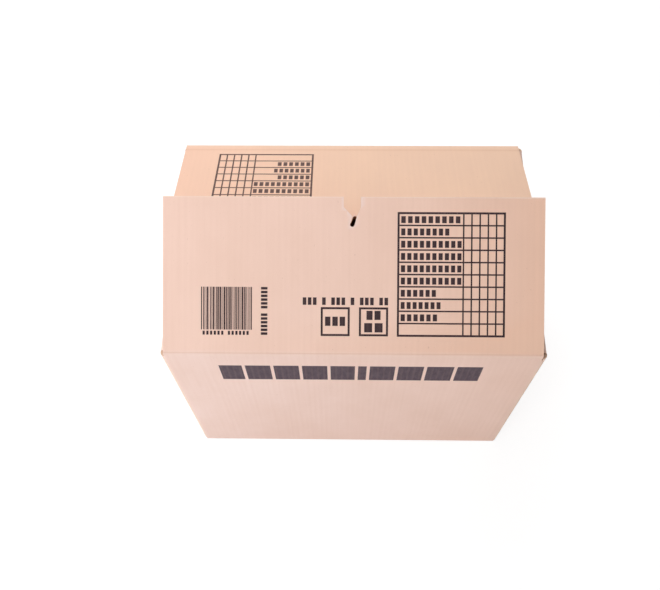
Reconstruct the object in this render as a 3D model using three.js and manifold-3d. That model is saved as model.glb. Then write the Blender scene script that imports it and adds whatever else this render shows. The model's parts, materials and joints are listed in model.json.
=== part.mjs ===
import * as THREE from "three";
import { mergeVertices } from "three/addons/utils/BufferGeometryUtils.js";
import Module from "manifold-3d";

// Lengths are in millimetres and angles in degrees.
// X runs along the box, Y from front to back, Z up from the ground; the origin is the middle of the bottom.
const boxLength = 488;
const boxWidth = 328;
const boxHeight = 376;
const board = 4;
const foldRadius = 4;
const foldSteps = 5;

// The long flaps close over the short ones, so the short walls fold one board lower at both ends.
// Every top flap is cut to one reach, past the middle of the box; the bottom flaps stop just short of it.
const topFlapPastMiddle = 34;
const bottomSeam = 1.2;
const shortFlapInset = 7;
const bottomFlapInset = 3.5;
const slotBelowLongFold = 7;

// Each long top flap ends a little inside the box, by its own inset at the left and the right from the front.
const frontFlap = { tilt: 28.1, insetLeft: 4.8, insetRight: 6.3 };
const rearFlap = { tilt: 17.7, insetLeft: 3.4, insetRight: 6.8 };
const jointGap = 0.4;

// The notch in both long flaps: along the flap from its middle, and in from the free edge.
const notchMiddle = -2.1;
const mouthHalfWidth = 10.8;
const mouthDepth = 12.9;
const throatDepth = 24;
const slotHalfWidth = 2.95;
const slotOffset = 2.95;
const notchDepth = 37.5;
const slotEndOffset = 0.15;
const overrun = 1;

const lap = { width: 35, fromEnds: 14 };
const wallOverlap = 30;

const halfLength = boxLength / 2;
const halfWidth = boxWidth / 2;
const topFlapReach = halfWidth + topFlapPastMiddle;
const bottomFlapReach = (boxWidth - bottomSeam) / 2;

const wasm = await Module();
wasm.setup();

const radians = THREE.MathUtils.degToRad;
const alongX = new THREE.Vector3(1, 0, 0);
const alongY = new THREE.Vector3(0, 1, 0);
const alongZ = new THREE.Vector3(0, 0, 1);

// An outline extruded from near to far, its own axes laid on a frame given by a matrix.
function prism(points, near, far, frame, hole) {
  const shape = new THREE.Shape(points.map(([a, b]) => new THREE.Vector2(a, b)));
  if (hole) shape.holes.push(new THREE.Path(hole.map(([a, b]) => new THREE.Vector2(a, b))));
  const extruded = new THREE.ExtrudeGeometry(shape, { depth: far - near, bevelEnabled: false });
  const bare = new THREE.BufferGeometry();
  bare.setAttribute("position", extruded.getAttribute("position"));
  bare.translate(0, 0, near);
  bare.applyMatrix4(frame);
  const merged = mergeVertices(bare, 1e-4);
  return new wasm.Manifold(new wasm.Mesh({
    numProp: 3,
    vertProperties: merged.attributes.position.array,
    triVerts: new Uint32Array(merged.index.array),
  }));
}

// Frames: plan looks down on the box, acrossBox holds Y and Z outlines, alongBox holds X and Z outlines.
const plan = new THREE.Matrix4();
const acrossBox = new THREE.Matrix4().makeBasis(alongY, alongZ, alongX);
const alongBox = new THREE.Matrix4().makeBasis(alongX, alongZ, alongY.clone().negate());

// The section of a wall that bends inwards into a flap; facing is 1 at the top and -1 at the bottom.
function foldedSection(halfSpan, foldHeight, tilt, reach, facing, side) {
  const turn = 90 - tilt;
  const tangent = foldRadius * Math.tan(radians(turn / 2));
  const outer = [];
  for (let step = 0; step <= foldSteps; step += 1) {
    const angle = radians((turn * step) / foldSteps);
    outer.push([
      halfSpan - foldRadius + foldRadius * Math.cos(angle),
      foldRadius * Math.sin(angle) - tangent,
    ]);
  }
  const cos = Math.cos(radians(tilt));
  const sin = Math.sin(radians(tilt));
  const inner = (board * (sin - 1)) / cos;
  const section = [
    [halfSpan - board, -wallOverlap],
    [halfSpan, -wallOverlap],
    ...outer,
    [halfSpan - reach * cos, reach * sin],
    [halfSpan - reach * cos - board * sin, reach * sin - board * cos],
    [halfSpan - board, inner],
  ];
  return section.map(([out, up]) => [side * out, foldHeight + facing * up]);
}

// The outline of the notch, from its mouth round its slanting slot and back.
function notchOutline() {
  const edge = topFlapReach;
  const ends = [];
  for (let step = 0; step <= foldSteps; step += 1) {
    const angle = radians(180 + (180 * step) / foldSteps);
    ends.push([
      notchMiddle + slotEndOffset + slotHalfWidth * Math.cos(angle),
      edge - notchDepth + slotHalfWidth * (1 + Math.sin(angle)),
    ]);
  }
  return [
    [notchMiddle - mouthHalfWidth, edge + overrun],
    [notchMiddle - mouthHalfWidth, edge - mouthDepth],
    [notchMiddle + slotOffset - slotHalfWidth, edge - throatDepth],
    ...ends,
    [notchMiddle + slotOffset + slotHalfWidth, edge - throatDepth],
    [notchMiddle + mouthHalfWidth, edge - mouthDepth],
    [notchMiddle + mouthHalfWidth, edge + overrun],
  ];
}

// The notch as a solid, in a flap lying on the given frame.
function notchCutter(frame) {
  return prism(notchOutline(), -board - overrun, overrun, frame);
}

// A rectangle with rounded corners, its sides in order round the box.
function roundedRectangle(halfLength, halfWidth, radius) {
  const points = [];
  for (let corner = 0; corner < 4; corner += 1) {
    const right = corner === 0 || corner === 3 ? 1 : -1;
    const back = corner < 2 ? 1 : -1;
    for (let step = 0; step <= foldSteps; step += 1) {
      const angle = radians(90 * (corner + step / foldSteps));
      points.push([
        right * (halfLength - radius) + radius * Math.cos(angle),
        back * (halfWidth - radius) + radius * Math.sin(angle),
      ]);
    }
  }
  return points;
}

// The four walls between the slots that part the flaps at the corners.
const walls = prism(
  roundedRectangle(halfLength, halfWidth, foldRadius),
  slotBelowLongFold,
  boxHeight - slotBelowLongFold,
  plan,
  roundedRectangle(halfLength - board, halfWidth - board, foldRadius / 4),
);

// The front wall rises to a mitred edge, and the moving flap has the matching mitre.
const mitre = (90 + frontFlap.tilt) / 2;
const mitreShift = jointGap / 2 / Math.sin(radians(mitre));
const mitreRun = board / Math.tan(radians(mitre));
const frontWallTop = prism(
  [
    [-halfWidth, boxHeight - wallOverlap],
    [-halfWidth + board, boxHeight - wallOverlap],
    [-halfWidth + board, boxHeight - mitreRun - mitreShift],
    [-halfWidth, boxHeight - mitreShift],
  ],
  frontFlap.insetLeft - halfLength,
  halfLength - frontFlap.insetRight,
  acrossBox,
);

// The rear flap is the same cut turned half round, so its frame runs the other way along the box.
const rearFrame = new THREE.Matrix4()
  .makeRotationX(radians(-rearFlap.tilt))
  .multiply(new THREE.Matrix4().makeRotationZ(Math.PI))
  .setPosition(0, halfWidth, boxHeight);
const rearFold = foldedSection(halfWidth, boxHeight, rearFlap.tilt, topFlapReach, 1, 1);
const rearTop = prism(
  rearFold,
  rearFlap.insetLeft - halfLength,
  halfLength - rearFlap.insetRight,
  acrossBox,
).subtract(notchCutter(rearFrame));

// The glued lap that closes the tube of walls, inside the rear wall at its left end.
const lapStrip = prism(
  [
    [-halfLength + board, halfWidth - 2 * board],
    [-halfLength + board + lap.width, halfWidth - 2 * board],
    [-halfLength + board + lap.width, halfWidth - board],
    [-halfLength + board, halfWidth - board],
  ],
  lap.fromEnds,
  boxHeight - lap.fromEnds,
  plan,
);

const shortFlapHalf = halfWidth - shortFlapInset;
const bottomFlapHalf = halfLength - bottomFlapInset;
let shell = walls.add(frontWallTop).add(rearTop).add(lapStrip);
for (const side of [-1, 1]) {
  const shortTop = foldedSection(halfLength, boxHeight - board, 0, topFlapReach, 1, side);
  const shortBottom = foldedSection(halfLength, board, 0, bottomFlapReach, -1, side);
  const longBottom = foldedSection(halfWidth, 0, 0, bottomFlapReach, -1, side);
  shell = shell
    .add(prism(shortTop, -shortFlapHalf, shortFlapHalf, alongBox))
    .add(prism(shortBottom, -shortFlapHalf, shortFlapHalf, alongBox))
    .add(prism(longBottom, -bottomFlapHalf, bottomFlapHalf, acrossBox));
}

// The moving flap lies flat in its own frame, printed side up, with its fold along X at the origin.
const movingFlap = prism(
  [
    [mitreShift, 0],
    [mitreRun + mitreShift, -board],
    [topFlapReach, -board],
    [topFlapReach, 0],
  ],
  frontFlap.insetLeft - halfLength,
  halfLength - frontFlap.insetRight,
  acrossBox,
).subtract(notchCutter(new THREE.Matrix4()));

function node(name, solid) {
  const mesh = solid.getMesh();
  const geometry = new THREE.BufferGeometry();
  geometry.setAttribute("position", new THREE.BufferAttribute(mesh.vertProperties, 3));
  geometry.setIndex(new THREE.BufferAttribute(mesh.triVerts, 1));
  const material = new THREE.MeshStandardMaterial({ color: 0xecccb6, roughness: 0.9 });
  const made = new THREE.Mesh(geometry, material);
  made.name = name;
  return made;
}

const box = new THREE.Group();
box.add(node("box_shell", shell));

const flap = node("front_flap", movingFlap);
flap.position.set(0, -halfWidth, boxHeight);
flap.rotation.x = radians(frontFlap.tilt);
box.add(flap);

export default box;
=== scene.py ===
import json
import math
import random

import bmesh
import bpy
import numpy as np
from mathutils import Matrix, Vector


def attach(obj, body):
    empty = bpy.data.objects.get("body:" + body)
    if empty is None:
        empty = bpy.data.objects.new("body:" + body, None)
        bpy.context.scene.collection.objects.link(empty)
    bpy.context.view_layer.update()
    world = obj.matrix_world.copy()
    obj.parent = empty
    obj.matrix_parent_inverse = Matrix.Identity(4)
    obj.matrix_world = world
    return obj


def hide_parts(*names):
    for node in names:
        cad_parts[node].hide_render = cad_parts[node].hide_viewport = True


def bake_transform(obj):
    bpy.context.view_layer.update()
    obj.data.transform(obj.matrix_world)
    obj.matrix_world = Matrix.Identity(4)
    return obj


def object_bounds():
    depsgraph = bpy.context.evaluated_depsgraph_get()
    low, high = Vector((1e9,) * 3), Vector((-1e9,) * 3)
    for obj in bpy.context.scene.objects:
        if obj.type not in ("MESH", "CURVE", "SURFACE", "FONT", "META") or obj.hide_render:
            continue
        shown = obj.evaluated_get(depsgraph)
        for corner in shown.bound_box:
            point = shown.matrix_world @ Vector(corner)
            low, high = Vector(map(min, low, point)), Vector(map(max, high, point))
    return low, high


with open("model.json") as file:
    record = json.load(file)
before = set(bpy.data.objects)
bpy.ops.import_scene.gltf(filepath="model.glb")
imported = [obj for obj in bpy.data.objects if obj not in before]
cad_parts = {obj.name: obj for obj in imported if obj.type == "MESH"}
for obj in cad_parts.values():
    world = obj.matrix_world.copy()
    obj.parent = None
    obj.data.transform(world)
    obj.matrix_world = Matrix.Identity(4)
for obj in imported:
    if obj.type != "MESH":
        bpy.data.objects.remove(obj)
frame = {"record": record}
cad_low, cad_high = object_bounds()
scene = bpy.context.scene

# Sizes are in metres, written as millimetres times MM, and angles are in degrees.
MM = 0.001
BOARD = 4 * MM
FOLD_RADIUS = 5 * MM
FOLD_STEPS = 8

hinge = Vector(frame["record"]["behaviour"]["joints"][0]["pos_m"])
HALF_LENGTH = cad_high.x
HALF_WIDTH = cad_high.y
LONG_FOLD = hinge.z
SHORT_FOLD = LONG_FOLD - BOARD

TOP_REACH = HALF_WIDTH + 34 * MM
BOTTOM_REACH = HALF_WIDTH - 0.6 * MM
FRONT_TILT = 28.1
REAR_TILT = 17.7
SLOT_FOOT = 7 * MM
STRIP_RUN = 14 * MM
CREASE_RUN = 7 * MM
NEAR_RUN = 17 * MM

# Where each flap starts and ends along its wall, seen from outside
FRONT_ENDS = (4.8 * MM - HALF_LENGTH, HALF_LENGTH - 6.3 * MM)
REAR_ENDS = (6.8 * MM - HALF_LENGTH, HALF_LENGTH - 3.4 * MM)
SHORT_ENDS = (7 * MM - HALF_WIDTH, HALF_WIDTH - 7 * MM)
BOTTOM_ENDS = (3.5 * MM - HALF_LENGTH, HALF_LENGTH - 3.5 * MM)

LAP_WIDTH = 35 * MM
LAP_FROM_ENDS = 14 * MM
LAP_LEAN = 0.3 * MM
STUB = 2.2 * MM

SCORE_RUN = 12.5 * MM
SCORE_DEPTH = 0.2 * MM
FLUTE = 7.9 * MM
FLUTE_HALF_THICKNESS = 0.14 * MM
LINER = 0.4 * MM
LIP = 1.6 * MM
FLAP_SAG = 0.7 * MM
RIPPLE_SHARE = 0.12

# Distances between the points of a mesh
FINE_STEP = 1 * MM
FLAP_STEP = 8 * MM
WALL_STEP = 12 * MM

OUTER, INNER, CUT = 0, 1, 2


def smooth(x):
    """Eases from 0 to 1."""
    x = np.clip(x, 0, 1)
    return x * x * (3 - 2 * x)


# Walls

PANELS = {
    "front": (Vector((1, 0, 0)), Vector((0, -1, 0)), HALF_WIDTH, HALF_LENGTH),
    "right": (Vector((0, 1, 0)), Vector((1, 0, 0)), HALF_LENGTH, HALF_WIDTH),
    "rear": (Vector((-1, 0, 0)), Vector((0, 1, 0)), HALF_WIDTH, HALF_LENGTH),
    "left": (Vector((0, -1, 0)), Vector((-1, 0, 0)), HALF_LENGTH, HALF_WIDTH),
}
PANEL_BOW = {"front": 0.7 * MM, "right": 1.1 * MM, "rear": 0.8 * MM, "left": 0.9 * MM}
# Where each wall starts on the unfolded sheet, and its board tone from its left end to its right
SHEET_START = {"front": 0.0, "right": 0.6, "rear": 1.2, "left": 1.8}
TONE = {"front": (0.1, 0.5), "right": (0.5, 0.5), "rear": (0.5, 0.4), "left": (0.4, 0.2)}


def panel_point(panel, along, out, up):
    """A place on a wall: along it, out from its outer face, and above the ground."""
    direction, outward, distance, _ = PANELS[panel]
    return direction * along + outward * (distance + out) + Vector((0, 0, up))


def wall_bow(panel, along, up):
    """How far a wall leans in, nothing at its folds."""
    half = PANELS[panel][3]
    across = math.cos(math.pi / 2 * min(1, abs(along) / half))
    height = math.sin(math.pi * (up - STRIP_RUN) / (LONG_FOLD - 2 * STRIP_RUN))
    ripple = RIPPLE_SHARE * math.sin(along * 21 + up * 9) * max(0, height) * across
    return PANEL_BOW[panel] * (max(0, height) * across * 0.85 + ripple)


def flap_sag(along, run, reach):
    """How far a flap sinks below its plane, nothing near its fold."""
    if run <= CREASE_RUN:
        return 0
    share = float(smooth((run - CREASE_RUN) / (reach - CREASE_RUN)))
    waves = 1 + 0.35 * math.sin(along * 15 + 0.7) + 0.15 * math.sin(along * 37)
    return FLAP_SAG * share * waves


# Board meshes


class Board:
    """Collects closed slabs of board into one mesh with sheet coordinates, a tone, and a value that pales
    the board for wear and painted highlights and darkens it for painted shade.
    """

    def __init__(self):
        self.points = []
        self.faces = []
        self.kinds = []
        self.sheet = []
        self.tone = []
        self.wear_and_light = []

    def slab(self, outer, inner, sheet, tone, wear_and_light, ring=False, kinds=(OUTER, INNER)):
        """A slab between two grids of points; ring joins its last column to its first."""
        rows, columns = len(outer), len(outer[0])
        start = len(self.points)
        for grid, shift in ((outer, 0.0), (inner, 3.0)):
            for i in range(rows):
                for j in range(columns):
                    self.points.append(grid[i][j])
                    self.sheet.append((sheet[i][j][0] + shift, sheet[i][j][1]))
                    self.tone.append(tone[i][j])
                    self.wear_and_light.append(wear_and_light[i][j])

        def at(layer, i, j):
            return start + (layer * rows + i) * columns + j % columns

        def add(corners, kind):
            self.faces.append(corners)
            self.kinds.append(kind)

        last = columns if ring else columns - 1
        for i in range(rows - 1):
            for j in range(last):
                add([at(0, i, j), at(0, i, j + 1), at(0, i + 1, j + 1), at(0, i + 1, j)], kinds[0])
                add([at(1, i + 1, j), at(1, i + 1, j + 1), at(1, i, j + 1), at(1, i, j)], kinds[1])
        for j in range(last):
            add([at(1, 0, j), at(1, 0, j + 1), at(0, 0, j + 1), at(0, 0, j)], CUT)
            end = rows - 1
            add([at(0, end, j), at(0, end, j + 1), at(1, end, j + 1), at(1, end, j)], CUT)
        if not ring:
            for i in range(rows - 1):
                add([at(0, i, 0), at(0, i + 1, 0), at(1, i + 1, 0), at(1, i, 0)], CUT)
                end = columns - 1
                add([at(1, i, end), at(1, i + 1, end), at(0, i + 1, end), at(0, i, end)], CUT)

    def build(self, name):
        """The collected slabs as an object."""
        mesh = bpy.data.meshes.new(name)
        mesh.from_pydata([tuple(p) for p in self.points], [], self.faces)
        mesh.polygons.foreach_set("material_index", self.kinds)
        layer = mesh.uv_layers.new(name="sheet")
        for loop in mesh.loops:
            layer.data[loop.index].uv = self.sheet[loop.vertex_index]
        for label, values in (("tone", self.tone), ("wear_and_light", self.wear_and_light)):
            attribute = mesh.attributes.new(label, "FLOAT", "POINT")
            attribute.data.foreach_set("value", values)
        mesh.set_sharp_from_angle(angle=math.radians(35))
        made = bpy.data.objects.new(name, mesh)
        scene.collection.objects.link(made)
        for material in (outer_board, inner_board, cut_board):
            mesh.materials.append(material)
        return made


def spread(low, high, step):
    """Even places from low to high, about step apart."""
    return np.linspace(low, high, max(2, int(round((high - low) / step)) + 1))


def fold_section(tilt, wall_run, flap_run, flap_step, dent_depth):
    """Matching outer and inner points from a wall over its fold and along a flap, with the run of each.

    A point is out from the wall and up from the fold. The run is negative on the wall.
    """
    turn = math.radians(90 - tilt)
    lean = math.radians(tilt)
    tangent = FOLD_RADIUS * math.tan(turn / 2)
    rows = []
    for up in spread(-wall_run, -tangent, FINE_STEP)[:-1]:
        rows.append((up, (0, up), (1, 0)))
    for step in range(FOLD_STEPS + 1):
        angle = turn * step / FOLD_STEPS
        normal = (math.cos(angle), math.sin(angle))
        point = (FOLD_RADIUS * (normal[0] - 1), FOLD_RADIUS * normal[1] - tangent)
        rows.append((tangent * (2 * step / FOLD_STEPS - 1), point, normal))
    near = spread(tangent, min(flap_run, NEAR_RUN), FINE_STEP)[1:]
    far = spread(NEAR_RUN, flap_run, flap_step)[1:] if flap_run > NEAR_RUN else []
    for run in (*near, *far):
        point = (-run * math.cos(lean), run * math.sin(lean))
        rows.append((run, point, (math.sin(lean), math.cos(lean))))
    outer, inner = [], []
    for run, point, normal in rows:
        dent = score_dent(run, dent_depth)
        outer.append((point[0] - normal[0] * dent, point[1] - normal[1] * dent))
        inner.append((point[0] - normal[0] * BOARD, point[1] - normal[1] * BOARD))
    return outer, inner, [row[0] for row in rows]


def hump(distance, width):
    """A smooth hump, 1 at no distance."""
    return math.exp(-((distance / width) ** 2))


def score_dent(run, depth):
    """The shallow groove that a scoring wheel leaves beside a fold."""
    return depth * hump(run - SCORE_RUN, 1.2 * MM)


def plain_fold_pale_and_shade(run):
    """A fold: up to 1 where it is paler along the fold, below 0 along its score, where it is darker with
    painted shade.
    """
    return 0.35 * hump(run, 3 * MM) - 0.3 * hump(run - SCORE_RUN, 1.5 * MM)


def rear_fold_highlight_and_shade(run):
    """The rear fold: a broad pale ridge of painted highlight where the fold curves to the light, then a
    darker line of painted shade along its score.
    """
    return 0.4 * hump(run - 2 * MM, 6 * MM) - 0.35 * hump(run - SCORE_RUN, 2 * MM)


def front_fold_pale_and_shade(run):
    """The front fold: a thin darker line of painted shade along a faintly paler ridge."""
    return 0.3 * hump(run + 2.5 * MM, 3 * MM) - 0.5 * hump(run - 1.5 * MM, 0.8 * MM)


def tone_at(panel, share):
    """The board's tone at a share of the way along a wall."""
    low, high = TONE[panel]
    return low + (high - low) * share


def wall_tone(panel, along):
    """The board's tone at a place along a wall, held past its ends."""
    share = 0.5 + along / (2 * PANELS[panel][3])
    return tone_at(panel, min(1, max(0, share)))


def past_fold(run):
    """Eases from 0 on the wall side of a fold to 1 on its flap."""
    return float(smooth((run + 2 * MM) / (9 * MM)))


def add_strip(board, panel, fold, tilt, ends, reach, facing, wear_and_light=plain_fold_pale_and_shade, flap_tone=None):
    """A flap with the fold that joins it to its wall; facing is 1 at the top and -1 at the bottom.

    The short walls fold one board nearer the middle, so their strips are that much shorter.
    """
    wall_run = STRIP_RUN - (BOARD if fold in (SHORT_FOLD, BOARD) else 0)
    outer, inner, runs = fold_section(tilt, wall_run, reach - LIP, WALL_STEP, SCORE_DEPTH)
    columns = spread(*ends, FLAP_STEP)
    lean = math.radians(tilt)
    normal = (math.sin(lean), math.cos(lean))

    def grid(section):
        rows = []
        for (out, up), run in zip(section, runs):
            row = []
            for along in columns:
                sag = flap_sag(along, run, reach)
                height = fold + facing * (up - normal[1] * sag)
                row.append(panel_point(panel, along, out - normal[0] * sag, height))
            rows.append(row)
        return rows

    def tone(along, run):
        share = (along - ends[0]) / (ends[1] - ends[0])
        base = tone_at(panel, share)
        if flap_tone is None:
            return base
        return base + (flap_tone(share, run) - base) * past_fold(run)

    sheet = [[(SHEET_START[panel] + along, fold + facing * run) for along in columns] for run in runs]
    tones = [[tone(along, run) for along in columns] for run in runs]
    wear_and_light_grid = [[wear_and_light(run)] * len(columns) for run in runs]
    board.slab(grid(outer), grid(inner), sheet, tones, wear_and_light_grid)


def flap_place(panel, fold, tilt, along, run, depth):
    """A place in a top flap: along its fold, away from it, and below its outer face."""
    lean = math.radians(tilt)
    below = depth + flap_sag(along, run, TOP_REACH)
    out = -run * math.cos(lean) - below * math.sin(lean)
    up = run * math.sin(lean) - below * math.cos(lean)
    return panel_point(panel, along, out, fold + up)


def add_lips(board, place, ends, start, tone):
    """The two liners that stand past the flutes at a top flap's free edge."""
    columns = spread(*ends, FLAP_STEP)
    runs = (TOP_REACH - LIP, TOP_REACH)
    for top, bottom, kinds in ((0, LINER, (OUTER, CUT)), (BOARD - LINER, BOARD, (CUT, INNER))):
        grids = []
        for depth in (top, bottom):
            grids.append([[place(along, run, depth) for along in columns] for run in runs])
        sheet = [[(start + along, LONG_FOLD + run) for along in columns] for run in runs]
        tones = [[tone] * len(columns)] * 2
        # The value 0.8 at the very edge paints a pale highlight along the free edge.
        wear_and_light_grid = [[0.0] * len(columns), [0.8] * len(columns)]
        board.slab(grids[0], grids[1], sheet, tones, wear_and_light_grid, kinds=kinds)


def add_flutes(board, place, ends, start, skip=None):
    """The wavy middle layer seen at a top flap's free edge; skip is a stretch with no edge, at a notch."""
    middle = BOARD / 2
    swing = BOARD / 2 - LINER - FLUTE_HALF_THICKNESS
    end_inset = 0.5 * MM
    edge_inset = 0.25 * MM
    runs = (TOP_REACH - LIP, TOP_REACH - edge_inset)
    spans = [ends] if skip is None else [(ends[0], skip[0]), (skip[1], ends[1])]
    for low, high in spans:
        columns = spread(low + end_inset, high - end_inset, FLUTE / 10)
        wave = [middle + swing * math.sin(2 * math.pi * along / FLUTE) for along in columns]
        grids = []
        for side in (-FLUTE_HALF_THICKNESS, FLUTE_HALF_THICKNESS):
            grids.append([[place(along, run, depth + side) for along, depth in zip(columns, wave)]
                          for run in runs])
        sheet = [[(start + along, LONG_FOLD + run) for along in columns] for run in runs]
        flat = [[0.5] * len(columns)] * 2
        board.slab(grids[0], grids[1], sheet, flat, [[0.0] * len(columns)] * 2, kinds=(CUT, CUT))


def corner_arc(panel):
    """The rounded corner at a wall's right end: each place, the way out of it and the angle turned."""
    direction, outward, distance, half = PANELS[panel]
    middle = direction * (half - FOLD_RADIUS) + outward * (distance - FOLD_RADIUS)
    places = []
    for step in range(FOLD_STEPS + 1):
        angle = math.radians(90 * step / FOLD_STEPS)
        out = outward * math.cos(angle) + direction * math.sin(angle)
        places.append((middle + out * FOLD_RADIUS, out, angle))
    return places


def ring_columns():
    """Places round the box at its outer face, with the wall they are on and the way out of it."""
    columns = []
    for name, (direction, outward, distance, half) in PANELS.items():
        flat = half - FOLD_RADIUS
        for along in spread(-flat, flat, WALL_STEP):
            columns.append((name, along, direction * along + outward * distance, outward))
        for place, out, angle in corner_arc(name)[1:-1]:
            columns.append((name, flat + FOLD_RADIUS * angle, place, out))
    return columns


def corner_wear(panel, along):
    """Rubbed liner along the corners between the walls."""
    from_corner = PANELS[panel][3] - abs(along)
    return 0.8 * float(smooth((7 * MM - from_corner) / (6 * MM)))


def add_tube(board):
    """The four walls between the folds, as one closed band with rounded corners."""
    columns = ring_columns()
    rows = spread(STRIP_RUN, LONG_FOLD - STRIP_RUN, WALL_STEP)
    outer, inner, sheet, tones, wear_and_light_grid = [], [], [], [], []
    for up in rows:
        lift = Vector((0, 0, up))
        faces = [[], []]
        for name, along, place, out in columns:
            bow = wall_bow(name, along, up) if abs(along) < PANELS[name][3] - FOLD_RADIUS else 0
            faces[0].append(place + lift - out * bow)
            faces[1].append(place + lift - out * (bow + BOARD))
        outer.append(faces[0])
        inner.append(faces[1])
        sheet.append([(SHEET_START[name] + along, up) for name, along, _, _ in columns])
        tones.append([wall_tone(name, along) for name, along, _, _ in columns])
        wear_and_light_grid.append([corner_wear(name, along) for name, along, _, _ in columns])
    board.slab(outer, inner, sheet, tones, wear_and_light_grid, ring=True)


def add_posts(board):
    """The short stubs of wall at the corners, beside the slots between the flaps."""
    order = list(PANELS)
    for low, high in ((SLOT_FOOT, STRIP_RUN), (LONG_FOLD - STRIP_RUN, LONG_FOLD - SLOT_FOOT)):
        for index, name in enumerate(order):
            direction, outward, _, half = PANELS[name]
            following = order[(index + 1) % len(order)]
            places = [(place, out) for place, out, _ in corner_arc(name)]
            if name in ("right", "left"):
                places.insert(0, (places[0][0] - direction * STUB, outward))
            if following in ("right", "left"):
                places.append((places[-1][0] + PANELS[following][0] * STUB, PANELS[following][1]))
            rows = spread(low, high, 2 * FINE_STEP)
            outer = [[place + Vector((0, 0, up)) for place, _ in places] for up in rows]
            inner = [[place - out * BOARD + Vector((0, 0, up)) for place, out in places] for up in rows]
            sheet = [[(SHEET_START[name] + half, up)] * len(places) for up in rows]
            tones = [[tone_at(name, 1)] * len(places) for _ in rows]
            wear_and_light_grid = [[0.7] * len(places) for _ in rows]
            board.slab(outer, inner, sheet, tones, wear_and_light_grid)


def add_lap(board):
    """The glued lap inside the rear wall at its left end."""
    corner = HALF_LENGTH - BOARD
    columns = spread(corner - LAP_WIDTH, corner - 0.5 * MM, 6 * MM)
    rows = spread(LAP_FROM_ENDS, LONG_FOLD - LAP_FROM_ENDS, WALL_STEP)
    start = SHEET_START["left"] + 0.4
    outer = [[panel_point("rear", along, -BOARD - LAP_LEAN, up) for along in columns] for up in rows]
    inner = [[panel_point("rear", along, -2 * BOARD, up) for along in columns] for up in rows]
    sheet = [[(start + along, up) for along in columns] for up in rows]
    flat = [[0.3] * len(columns) for _ in rows]
    board.slab(outer, inner, sheet, flat, [[0.0] * len(columns) for _ in rows])


# The notch in both long flaps, along the flap from the middle of its mouth and in from its free edge

NOTCH_MIDDLE = -2.1 * MM
MOUTH_HALF = 10.8 * MM
MOUTH_DEPTH = 12.9 * MM
THROAT_DEPTH = 24 * MM
SLOT_HALF = 2.95 * MM
SLOT_SHIFT = 2.95 * MM
SLOT_END_SHIFT = 0.15 * MM
NOTCH_DEPTH = 37.5 * MM
OVERRUN = 3 * MM


def notch_outline():
    """The notch's outline as places along the flap and away from its fold."""
    ends = []
    for step in range(FOLD_STEPS + 1):
        angle = math.pi * (1 + step / FOLD_STEPS)
        along = SLOT_END_SHIFT + SLOT_HALF * math.cos(angle)
        ends.append((along, TOP_REACH - NOTCH_DEPTH + SLOT_HALF * (1 + math.sin(angle))))
    points = [
        (-MOUTH_HALF, TOP_REACH + OVERRUN),
        (-MOUTH_HALF, TOP_REACH - MOUTH_DEPTH),
        (SLOT_SHIFT - SLOT_HALF, TOP_REACH - THROAT_DEPTH),
        *ends,
        (SLOT_SHIFT + SLOT_HALF, TOP_REACH - THROAT_DEPTH),
        (MOUTH_HALF, TOP_REACH - MOUTH_DEPTH),
        (MOUTH_HALF, TOP_REACH + OVERRUN),
    ]
    return [(NOTCH_MIDDLE + along, run) for along, run in points]


def cut_notch(piece, place):
    """Takes the notch out of a piece of board."""
    outline = notch_outline()
    count = len(outline)
    points = [place(along, run, -OVERRUN) for along, run in outline]
    points += [place(along, run, BOARD + OVERRUN) for along, run in outline]
    faces = [list(range(count)), list(range(2 * count - 1, count - 1, -1))]
    faces += [[j, (j + 1) % count, count + (j + 1) % count, count + j] for j in range(count)]
    mesh = bpy.data.meshes.new("notch")
    mesh.from_pydata([tuple(p) for p in points], [], faces)
    work = bmesh.new()
    work.from_mesh(mesh)
    bmesh.ops.recalc_face_normals(work, faces=work.faces)
    work.to_mesh(mesh)
    work.free()
    for material in (outer_board, inner_board, cut_board):
        mesh.materials.append(material)
    mesh.polygons.foreach_set("material_index", [CUT] * len(mesh.polygons))
    cutter = bpy.data.objects.new("notch", mesh)
    scene.collection.objects.link(cutter)
    modifier = piece.modifiers.new("notch", "BOOLEAN")
    modifier.operation = "DIFFERENCE"
    modifier.solver = "EXACT"
    modifier.object = cutter
    apply_modifiers(piece)
    bpy.data.objects.remove(cutter)


def apply_modifiers(piece):
    """Makes a piece's modifiers part of its mesh."""
    graph = bpy.context.evaluated_depsgraph_get()
    made = bpy.data.meshes.new_from_object(piece.evaluated_get(graph))
    piece.modifiers.clear()
    piece.data = made


def join(name, pieces):
    """Several pieces as one object."""
    with bpy.context.temp_override(active_object=pieces[0], selected_editable_objects=pieces):
        bpy.ops.object.join()
    pieces[0].name = name
    pieces[0].data.set_sharp_from_angle(angle=math.radians(35))
    return pieces[0]


# Materials


def feed(tree, socket, value):
    """Links a socket to another, or sets its value."""
    if isinstance(value, bpy.types.NodeSocket):
        tree.links.new(value, socket)
    else:
        socket.default_value = value


def add_node(tree, kind, **inputs):
    """A shader node with values or links on its named inputs."""
    node = tree.nodes.new(kind)
    for name, value in inputs.items():
        feed(tree, node.inputs[name], value)
    return node


def math_node(tree, operation, first, second):
    """A sum, product or the like of two values."""
    node = tree.nodes.new("ShaderNodeMath")
    node.operation = operation
    for socket, value in zip(node.inputs, (first, second)):
        feed(tree, socket, value)
    return node.outputs[0]


def mix_node(tree, share, first, second):
    """A blend of two colours."""
    node = tree.nodes.new("ShaderNodeMix")
    node.data_type = "RGBA"
    for index, value in ((0, share), (6, first), (7, second)):
        feed(tree, node.inputs[index], value)
    return node.outputs[2]


def colour(red, green, blue):
    """A colour from its screen values of 0 to 255."""
    parts = []
    for value in (red, green, blue):
        share = value / 255
        parts.append(share / 12.92 if share <= 0.04045 else ((share + 0.055) / 1.055) ** 2.4)
    return (*parts, 1.0)


def attribute(tree, name):
    """A value kept at the mesh's points."""
    node = tree.nodes.new("ShaderNodeAttribute")
    node.attribute_name = name
    return node.outputs["Fac"]


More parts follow.
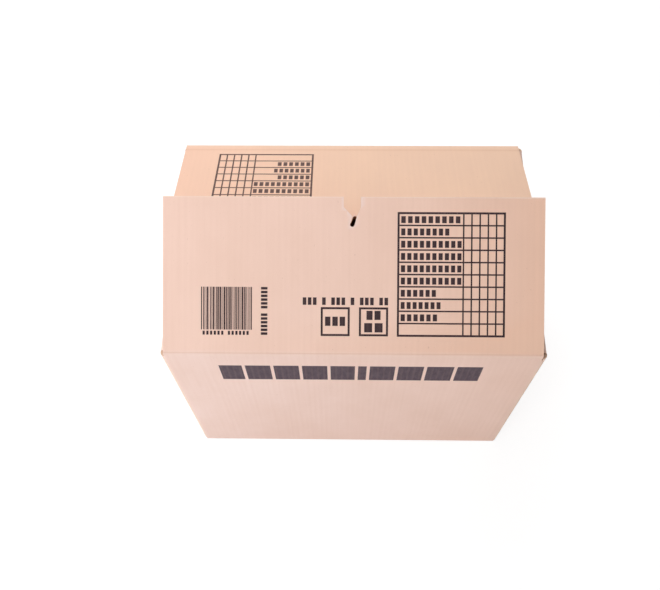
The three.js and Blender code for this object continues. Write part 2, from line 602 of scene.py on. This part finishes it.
def sheet_coordinates(tree, along=1.0, up=1.0):
    """Coordinates on the unfolded sheet in metres, stretched as asked."""
    uv = tree.nodes.new("ShaderNodeUVMap")
    uv.uv_map = "sheet"
    mapping = add_node(tree, "ShaderNodeMapping", Vector=uv.outputs[0], Scale=(along, up, 1))
    return mapping.outputs[0]


def noise(tree, vector, scale, detail, roughness):
    """Fractal noise from 0 to 1."""
    node = add_node(tree, "ShaderNodeTexNoise", Vector=vector, Scale=scale, Detail=detail,
                    Roughness=roughness)
    return node.outputs["Fac"]


def remap(tree, value, low, high, to_low=0.0, to_high=1.0):
    """A value moved from one range to another and held inside it."""
    node = add_node(tree, "ShaderNodeMapRange", Value=value)
    for index, number in ((1, low), (2, high), (3, to_low), (4, to_high)):
        node.inputs[index].default_value = number
    return node.outputs[0]


def flute_wave(tree):
    """A wave across the flutes, from -1 to 1."""
    split = add_node(tree, "ShaderNodeSeparateXYZ", Vector=sheet_coordinates(tree))
    turns = math_node(tree, "MULTIPLY", split.outputs[0], 2 * math.pi / FLUTE)
    return math_node(tree, "SINE", turns, 0.0)


def add_bump(tree, shader, height):
    """Relief in metres on a shader's surface."""
    bump = add_node(tree, "ShaderNodeBump", Height=height, Strength=1.0, Distance=1.0)
    tree.links.new(bump.outputs[0], shader.inputs["Normal"])


def paper_material(name, tones, groove, fleck, flute_depth, roughness):
    """Kraft liner: three tones of mottled fibre with faint flutes and flecks; paler where rubbed and where
    highlights are painted, and darker with painted shade along folds and scores.
    """
    material = bpy.data.materials.new(name)
    material.use_nodes = True
    tree = material.node_tree
    shader = tree.nodes["Principled BSDF"]
    tone = attribute(tree, "tone")
    base = mix_node(tree, tone, tones[0], tones[1])
    base = mix_node(tree, math_node(tree, "SUBTRACT", tone, 1.0), base, tones[2])

    clouds = remap(tree, noise(tree, sheet_coordinates(tree, 1, 0.6), 9, 4, 0.6), 0.3, 0.7)
    base = mix_node(tree, math_node(tree, "MULTIPLY", clouds, 0.35), base, groove)
    streaks = noise(tree, sheet_coordinates(tree, 240, 5), 1, 3, 0.6)
    base = mix_node(tree, remap(tree, streaks, 0.35, 0.75, 0, 0.14), base, groove)
    fibres = noise(tree, sheet_coordinates(tree, 1500, 500), 1, 4, 0.7)
    base = mix_node(tree, remap(tree, fibres, 0.4, 0.75, 0, 0.16), base, groove)
    flecks = noise(tree, sheet_coordinates(tree, 420, 260), 1, 2, 0.5)
    base = mix_node(tree, remap(tree, flecks, 0.70, 0.78, 0, 0.35), base, fleck)
    wave = flute_wave(tree)
    base = mix_node(tree, remap(tree, wave, -1, 1, 0, 0.05), base, groove)

    # Positive values pale the board: rubbed liner at the corners, paler bands along the folds, and painted
    # highlights along the rear fold and the flaps' free edges. Negative values are painted shade along
    # folds and scores.
    wear_and_light = attribute(tree, "wear_and_light")
    pale_patches = noise(tree, sheet_coordinates(tree, 60, 60), 1, 4, 0.65)
    worn = remap(tree, pale_patches, 0.35, 0.6, 0.25, 0.8)
    ridge = math_node(tree, "MULTIPLY", remap(tree, wear_and_light, 0.1, 1), worn)
    base = mix_node(tree, ridge, base, RUB_AND_HIGHLIGHT)
    base = mix_node(tree, remap(tree, wear_and_light, 0, -0.7, 0, 0.55), base, FOLD_SHADE)
    tree.links.new(base, shader.inputs["Base Color"])

    shine = remap(tree, fibres, 0.3, 0.8, roughness - 0.06, roughness + 0.08)
    tree.links.new(shine, shader.inputs["Roughness"])
    shader.inputs["Specular IOR Level"].default_value = 0.25

    relief = math_node(tree, "MULTIPLY", wave, flute_depth)
    relief = math_node(tree, "ADD", relief, math_node(tree, "MULTIPLY", fibres, FIBRE_RELIEF))
    relief = math_node(tree, "ADD", relief, math_node(tree, "MULTIPLY", clouds, CLOUD_RELIEF))
    add_bump(tree, shader, relief)
    return material


def ink_material(name, dark, light, worn):
    """Print that lies thinner over the flutes' hollows."""
    material = bpy.data.materials.new(name)
    material.use_nodes = True
    tree = material.node_tree
    shader = tree.nodes["Principled BSDF"]
    patches = noise(tree, sheet_coordinates(tree, 180, 60), 1, 3, 0.6)
    grain = noise(tree, sheet_coordinates(tree, 1500, 900), 1, 3, 0.6)
    base = mix_node(tree, remap(tree, patches, 0.3, 0.7), dark, light)
    base = mix_node(tree, remap(tree, grain, 0.55, 0.8, 0, 0.5), base, worn)
    base = mix_node(tree, remap(tree, flute_wave(tree), 0.2, 1, 0, 0.10), base, worn)
    tree.links.new(base, shader.inputs["Base Color"])
    shader.inputs["Roughness"].default_value = 0.7
    shader.inputs["Specular IOR Level"].default_value = 0.3
    add_bump(tree, shader, math_node(tree, "MULTIPLY", grain, INK_RELIEF))
    return material


FIBRE_RELIEF = 0.022 * MM
CLOUD_RELIEF = 0.10 * MM
INK_RELIEF = 0.02 * MM
# A pale colour for rubbed liner and painted highlights, and a dark one for painted shade along folds and
# scores.
RUB_AND_HIGHLIGHT = colour(250, 226, 205)
FOLD_SHADE = colour(214, 164, 128)

outer_board = paper_material(
    "outer_liner",
    (colour(251, 226, 219), colour(245, 202, 178), colour(245, 208, 181)),
    colour(226, 188, 168),
    colour(176, 132, 108),
    flute_depth=0.025 * MM,
    roughness=0.82,
)
inner_board = paper_material(
    "inner_liner",
    (colour(222, 184, 158), colour(218, 178, 148), colour(220, 182, 150)),
    colour(196, 154, 124),
    colour(140, 98, 72),
    flute_depth=0.05 * MM,
    roughness=0.82,
)
cut_board = paper_material(
    "cut_edge",
    (colour(208, 164, 134), colour(202, 158, 126), colour(204, 160, 128)),
    colour(158, 116, 88),
    colour(110, 76, 54),
    flute_depth=0.0,
    roughness=0.9,
)
line_ink = ink_material("line_ink", colour(38, 22, 26), colour(58, 40, 44), colour(112, 88, 84))
rear_ink = ink_material("rear_ink", colour(84, 60, 56), colour(106, 80, 74), colour(140, 112, 102))
heading_ink = ink_material("heading_ink", colour(74, 60, 70), colour(92, 77, 86), colour(150, 124, 120))


# Board pieces


def front_place(along, run, depth):
    """A place in the front long flap."""
    return flap_place("front", LONG_FOLD, FRONT_TILT, along, run, depth)


def rear_place(along, run, depth):
    """A place in the rear long flap."""
    return flap_place("rear", LONG_FOLD, REAR_TILT, along, run, depth)


def front_tone(share, run):
    """The front flap grows warmer to its right, most of all beside its fold."""
    beside_fold = 1 - float(smooth(run / (60 * MM)))
    return 0.52 + 0.48 * share ** 3 + 0.29 * share * beside_fold


def rear_tone(share, run):
    """The rear flap is the yellowest, least so at the left end of the box, where its warmer, darker colour
    is painted shade that tones down the stronger lamp light there.
    """
    return 2 - 0.9 * share ** 2


def add_free_edge(name, face, place, ends, start, tone):
    """Cuts the notch in a long flap and adds its free edge's liners and flutes; gives all the pieces."""
    lip = Board()
    add_lips(lip, place, ends, start, tone)
    lips = lip.build(name + "_lips")
    for piece in (face, lips):
        cut_notch(piece, place)
    wave = Board()
    skip = (NOTCH_MIDDLE - MOUTH_HALF, NOTCH_MIDDLE + MOUTH_HALF)
    add_flutes(wave, place, ends, start, skip)
    return [face, lips, wave.build(name + "_wave")]


def make_carton():
    """The folded sheet: walls, rear and short top flaps, bottom flaps and lap."""
    base = Board()
    add_tube(base)
    add_posts(base)
    add_lap(base)
    for panel in ("right", "left"):
        add_strip(base, panel, SHORT_FOLD, 0, SHORT_ENDS, TOP_REACH, 1)

        def place(along, run, depth, panel=panel):
            return flap_place(panel, SHORT_FOLD, 0, along, run, depth)

        add_lips(base, place, SHORT_ENDS, SHEET_START[panel], 0.3)
        add_flutes(base, place, SHORT_ENDS, SHEET_START[panel])
        add_strip(base, panel, BOARD, 0, SHORT_ENDS, BOTTOM_REACH, -1)
    for panel in ("front", "rear"):
        add_strip(base, panel, 0, 0, BOTTOM_ENDS, BOTTOM_REACH, -1)
    carton = base.build("carton_base")

    flap = Board()
    add_strip(flap, "rear", LONG_FOLD, REAR_TILT, REAR_ENDS, TOP_REACH, 1, rear_fold_highlight_and_shade, rear_tone)
    face = flap.build("rear_face")
    rear = add_free_edge("rear", face, rear_place, REAR_ENDS, SHEET_START["rear"], 1.0)
    return join("carton_sheet", [carton, *rear])


def front_share(along):
    """How far along the front flap a place is, from 0 at its left end to 1 at its right."""
    return (along - FRONT_ENDS[0]) / (FRONT_ENDS[1] - FRONT_ENDS[0])


def make_front_flap():
    """The moving flap from just past its crease to its free edge."""
    runs = spread(CREASE_RUN, TOP_REACH - LIP, FLAP_STEP)
    columns = spread(*FRONT_ENDS, FLAP_STEP)
    outer = [[front_place(along, run, 0) for along in columns] for run in runs]
    inner = [[front_place(along, run, BOARD) for along in columns] for run in runs]
    sheet = [[(along, LONG_FOLD + run) for along in columns] for run in runs]
    tones = [[front_tone(front_share(along), run) for along in columns] for run in runs]
    wear_and_light_grid = [[front_fold_pale_and_shade(run)] * len(columns) for run in runs]
    flap = Board()
    flap.slab(outer, inner, sheet, tones, wear_and_light_grid)
    face = flap.build("front_face")
    pieces = add_free_edge("front", face, front_place, FRONT_ENDS, SHEET_START["front"], 0.4)
    return join("front_flap_sheet", pieces)


def make_crease():
    """The scored fold between the front wall and the moving flap."""
    outer, inner, runs = fold_section(FRONT_TILT, STRIP_RUN, CREASE_RUN, FINE_STEP, 0)
    columns = spread(*FRONT_ENDS, FLAP_STEP)

    def grid(section):
        return [[panel_point("front", along, out, LONG_FOLD + up) for along in columns]
                for out, up in section]

    def tone(along, run):
        share = front_share(along)
        wall = tone_at("front", share)
        return wall + (front_tone(share, run) - wall) * past_fold(run)

    sheet = [[(along, LONG_FOLD + run) for along in columns] for run in runs]
    tones = [[tone(along, run) for along in columns] for run in runs]
    wear_and_light_grid = [[front_fold_pale_and_shade(run)] * len(columns) for run in runs]
    fold = Board()
    fold.slab(grid(outer), grid(inner), sheet, tones, wear_and_light_grid)
    return fold.build("front_crease")


# Print

LIFT = 0.05 * MM
REAR_PRINT_SHIFT = 1.3 * MM
GROUP_GAP = 0.8


class Print:
    """Collects flat printed shapes that lie on a board face."""

    def __init__(self, place, start, ink):
        self.place = place
        self.start = start
        self.ink = ink
        self.points = []
        self.faces = []
        self.sheet = []

    def box(self, left, low, right, high):
        """A filled rectangle, given in millimetres, split so that it follows the board."""
        columns = spread(left * MM, right * MM, FLAP_STEP)
        rows = spread(low * MM, high * MM, FLAP_STEP)
        first = len(self.points)
        for up in rows:
            for along in columns:
                self.points.append(self.place(along, up))
                self.sheet.append((self.start + along, up))
        wide = len(columns)
        for i in range(len(rows) - 1):
            for j in range(wide - 1):
                corner = first + i * wide + j
                self.faces.append([corner, corner + 1, corner + wide + 1, corner + wide])

    def frame(self, left, low, right, high, line):
        """A rectangle's outline."""
        self.box(left, low, right, low + line)
        self.box(left, high - line, right, high)
        self.box(left, low + line, left + line, high - line)
        self.box(right - line, low + line, right, high - line)

    def dashes(self, left, low, right, high, groups, fill=0.66):
        """A row of small blocks in groups, over a given width; fill is a block's share of its pitch."""
        slots = sum(groups) + GROUP_GAP * (len(groups) - 1) - (1 - fill)
        pitch = (right - left) / slots
        at = left
        for count in groups:
            for _ in range(count):
                self.box(at, low, at + pitch * fill, high)
                at += pitch
            at += GROUP_GAP * pitch

    def build(self, name):
        """The collected shapes as an object."""
        mesh = bpy.data.meshes.new(name)
        mesh.from_pydata([tuple(p) for p in self.points], [], self.faces)
        layer = mesh.uv_layers.new(name="sheet")
        for loop in mesh.loops:
            layer.data[loop.index].uv = self.sheet[loop.vertex_index]
        mesh.materials.append(self.ink)
        made = bpy.data.objects.new(name, mesh)
        scene.collection.objects.link(made)
        return made


# The table on a long flap, in millimetres along the flap and away from its fold
FRAME_LINE = 2.6
TABLE_LINE = 1.9
TABLE_LEFT, TABLE_RIGHT = 54.4, 188.9
TABLE_LOW, TABLE_HIGH = 23.6, 179.2
TABLE_ROWS = 10
TICKS_LEFT = 136.65
TICK_COLUMNS = 5
ENTRY_LEFT = 59.0
ENTRY_RIGHTS = (132.4, 118.8, 134.2, 134.2, 134.2, 134.2, 102.7, 108.6, 104.4)
ENTRY_BLOCKS = (9, 8, 10, 10, 10, 10, 6, 7, 6)
ENTRY_HEIGHT = 8.6
ENTRY_FOOT = 2.9


def print_table(sheet):
    """A ruled table with tick columns; plain blocks stand in each row but the last."""
    sheet.frame(TABLE_LEFT, TABLE_LOW, TABLE_RIGHT, TABLE_HIGH, FRAME_LINE)
    pitch = (TABLE_HIGH - TABLE_LOW - FRAME_LINE) / TABLE_ROWS
    first = TABLE_LOW + FRAME_LINE / 2
    inside = (TABLE_LEFT + FRAME_LINE, TABLE_RIGHT - FRAME_LINE)
    for row in range(1, TABLE_ROWS):
        middle = first + pitch * row
        sheet.box(inside[0], middle - TABLE_LINE / 2, inside[1], middle + TABLE_LINE / 2)
    tick = (TABLE_RIGHT - FRAME_LINE / 2 - TICKS_LEFT) / TICK_COLUMNS
    for column in range(TICK_COLUMNS):
        middle = TICKS_LEFT + tick * column
        for row in range(TABLE_ROWS):
            low = first + pitch * row + (FRAME_LINE if row == 0 else TABLE_LINE) / 2
            high = first + pitch * (row + 1) - (FRAME_LINE if row == TABLE_ROWS - 1 else TABLE_LINE) / 2
            sheet.box(middle - TABLE_LINE / 2, low, middle + TABLE_LINE / 2, high)
    for row, (right, blocks) in enumerate(zip(ENTRY_RIGHTS, ENTRY_BLOCKS)):
        low = TABLE_HIGH - FRAME_LINE / 2 - pitch * (row + 1) + ENTRY_FOOT
        sheet.dashes(ENTRY_LEFT, low, right, low + ENTRY_HEIGHT, (blocks,))


# The stripes: their left, low, right and high sides in millimetres, as for the table
STRIPES = (-191.0, 24.6, -127.0, 84.8)
STRIPE_MODULE = 0.68
STRIPE_FOOT = 6.5
STRIPE_SEED = 11


def print_stripes(sheet):
    """A block of upright stripes of mixed widths over a row of small blocks."""
    left, low, right, high = STRIPES
    draw = random.Random(STRIPE_SEED)
    at = left
    while at < right - 2 * STRIPE_MODULE:
        wide = STRIPE_MODULE * draw.choice((1, 1, 2, 2, 3))
        sheet.box(at, low + STRIPE_FOOT, min(at + wide, right), high)
        at += wide + STRIPE_MODULE * draw.choice((1, 1, 1, 2))
    sheet.dashes(left + 2, low, right - 4, low + 5, (6, 6), 0.6)


# The other marks: the left, low, right and high sides of each
LEFT_SQUARE = (-40.8, 23.9, -4.5, 60.1)
RIGHT_SQUARE = (7.0, 23.9, 43.4, 60.1)
ROW_OVER_SQUARES = (-63.4, 62.8, 43.2, 72.2)
ROW_IN_LEFT_SQUARE = (-35.4, 36.6, -10.3, 48.2)
UPPER_ROW_IN_RIGHT_SQUARE = (16.4, 44.4, 34.0, 55.8)
LOWER_ROW_IN_RIGHT_SQUARE = (13.6, 28.8, 36.6, 40.4)
UPRIGHT_ROW = (-115.8, 24.8, -107.6, 84.8)
UPRIGHT_SLOTS = 13
UPRIGHT_GAP_SLOT = 6
UPRIGHT_FILL = 0.68


def print_marks(sheet):
    """Two framed squares with small blocks in and over them, and an upright row beside the stripes."""
    sheet.dashes(*ROW_OVER_SQUARES, (3, 1, 3, 1, 3, 2), 0.7)
    sheet.frame(*LEFT_SQUARE, FRAME_LINE)
    sheet.dashes(*ROW_IN_LEFT_SQUARE, (3,), 0.74)
    sheet.frame(*RIGHT_SQUARE, FRAME_LINE)
    sheet.dashes(*UPPER_ROW_IN_RIGHT_SQUARE, (2,), 0.76)
    sheet.dashes(*LOWER_ROW_IN_RIGHT_SQUARE, (2,), 0.76)
    left, low, right, high = UPRIGHT_ROW
    pitch = (high - low) / (UPRIGHT_SLOTS - 1 + UPRIGHT_FILL)
    for slot in range(UPRIGHT_SLOTS):
        if slot != UPRIGHT_GAP_SLOT:
            sheet.box(left, low + pitch * slot, right, low + pitch * (slot + UPRIGHT_FILL))


# The heading on the front wall, in millimetres along the wall and up from the ground
HEADING = (-174.5, 288.0, 169.0, 338.5)
HEADING_WIDTHS = (30, 33, 33, 33, 32, 11, 33, 33, 35, 33)
HEADING_GAP = 4.2


def print_heading(sheet):
    """One row of heavy blocks near the top of the front wall."""
    left, low, right, high = HEADING
    scale = (right - left - HEADING_GAP * (len(HEADING_WIDTHS) - 1)) / sum(HEADING_WIDTHS)
    at = left
    for wide in HEADING_WIDTHS:
        sheet.box(at, low, at + wide * scale, high)
        at += wide * scale + HEADING_GAP


def make_prints():
    """The print on both long flaps and on the front wall."""

    def on_front(along, run):
        return front_place(along, run, -LIFT)

    def on_rear(along, run):
        return rear_place(along + REAR_PRINT_SHIFT, run, -LIFT)

    def on_wall(along, up):
        return panel_point("front", along, LIFT - wall_bow("front", along, up), up)

    flap = Print(on_front, 0, line_ink)
    print_table(flap)
    print_stripes(flap)
    print_marks(flap)
    rear = Print(on_rear, SHEET_START["rear"], rear_ink)
    print_table(rear)
    wall = Print(on_wall, 0, heading_ink)
    print_heading(wall)
    return flap.build("front_flap_print"), rear.build("rear_flap_print"), wall.build("front_wall_print")


# Stage, lights and camera, in metres and watts

FLOOR_HALF = 6.0
FLOOR_DROP = 0.2 * MM
FLOOR_GLOW = 0.82
WORLD_LIGHT = 0.12

# Each lamp is square: its place, its side and its power
LAMP_TARGET = Vector((0, 0, 0.3))
LAMPS = {
    "front_left_softbox": ((-1.5, -2.0, 1.2), 1.4, 43.5),
    "back_softbox": ((-0.5, 1.3, 1.8), 1.4, 30.3),
    "upper_left_fill": ((-0.9, -0.1, 1.9), 1.4, 8.5),
    "right_fill": ((2.3, -0.2, 0.35), 1.2, 16.3),
}

CAMERA_PLACE = (-0.0132, -0.5292, 1.2622)
CAMERA_TURN = (26.906, 0.705, 0.752)
CAMERA_LENS = 41.635
SENSOR_WIDTH = 36


def make_floor():
    """A plain pale floor: nearly white where the camera sees it, but for the object's shadow."""
    size = FLOOR_HALF
    mesh = bpy.data.meshes.new("floor")
    corners = [(-size, -size, 0), (size, -size, 0), (size, size, 0), (-size, size, 0)]
    mesh.from_pydata(corners, [], [(0, 1, 2, 3)])
    floor = bpy.data.objects.new("floor", mesh)
    floor.location.z = -FLOOR_DROP
    scene.collection.objects.link(floor)
    material = bpy.data.materials.new("floor")
    material.use_nodes = True
    tree = material.node_tree
    output = tree.nodes["Material Output"]
    plain = tree.nodes["Principled BSDF"]
    plain.inputs["Base Color"].default_value = (0.8, 0.8, 0.8, 1)
    plain.inputs["Roughness"].default_value = 0.9
    shaded = add_node(tree, "ShaderNodeBsdfDiffuse", Color=(0.3, 0.3, 0.3, 1))
    glow = add_node(tree, "ShaderNodeEmission", Color=(1, 1, 1, 1), Strength=FLOOR_GLOW)
    seen = tree.nodes.new("ShaderNodeAddShader")
    tree.links.new(shaded.outputs[0], seen.inputs[0])
    tree.links.new(glow.outputs[0], seen.inputs[1])
    choose = tree.nodes.new("ShaderNodeMixShader")
    path = tree.nodes.new("ShaderNodeLightPath")
    tree.links.new(path.outputs["Is Camera Ray"], choose.inputs[0])
    tree.links.new(plain.outputs[0], choose.inputs[1])
    tree.links.new(seen.outputs[0], choose.inputs[2])
    tree.links.new(choose.outputs[0], output.inputs["Surface"])
    mesh.materials.append(material)


def make_lamp(name, place, side, power):
    """A square soft lamp turned to the object."""
    data = bpy.data.lights.new(name, "AREA")
    data.shape = "SQUARE"
    data.size = side
    data.energy = power
    lamp = bpy.data.objects.new(name, data)
    lamp.location = place
    lamp.rotation_euler = (LAMP_TARGET - Vector(place)).to_track_quat("-Z", "Y").to_euler()
    scene.collection.objects.link(lamp)


def make_world():
    """White where the camera or a reflection sees it, and soft grey light otherwise."""
    world = bpy.data.worlds.new("studio")
    scene.world = world
    world.use_nodes = True
    tree = world.node_tree
    background = tree.nodes["Background"]
    path = tree.nodes.new("ShaderNodeLightPath")
    seen = math_node(tree, "MAXIMUM", path.outputs["Is Camera Ray"], path.outputs["Is Glossy Ray"])
    seen = math_node(tree, "MAXIMUM", seen, path.outputs["Is Transmission Ray"])
    background.inputs["Color"].default_value = (1, 1, 1, 1)
    tree.links.new(remap(tree, seen, 0, 1, WORLD_LIGHT, 1.0), background.inputs["Strength"])


def make_camera():
    """The photograph's own viewpoint, found from the box's corners, its flaps and its ruled tables."""
    data = bpy.data.cameras.new("camera")
    data.lens = CAMERA_LENS
    data.sensor_width = SENSOR_WIDTH
    camera = bpy.data.objects.new("camera", data)
    camera.location = CAMERA_PLACE
    camera.rotation_euler = [math.radians(turn) for turn in CAMERA_TURN]
    scene.collection.objects.link(camera)
    scene.camera = camera


make_camera()
carton = make_carton()
front_flap = make_front_flap()
crease = make_crease()
flap_print, rear_print, wall_print = make_prints()

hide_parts("box_shell")
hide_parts("front_flap")
for piece in (carton, rear_print, wall_print):
    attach(piece, "carton")
for piece in (front_flap, flap_print):
    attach(piece, "long_flap")

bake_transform(crease)

make_floor()
make_world()
for name, (place, side, power) in LAMPS.items():
    make_lamp(name, place, side, power)

scene.view_settings.view_transform = "Standard"
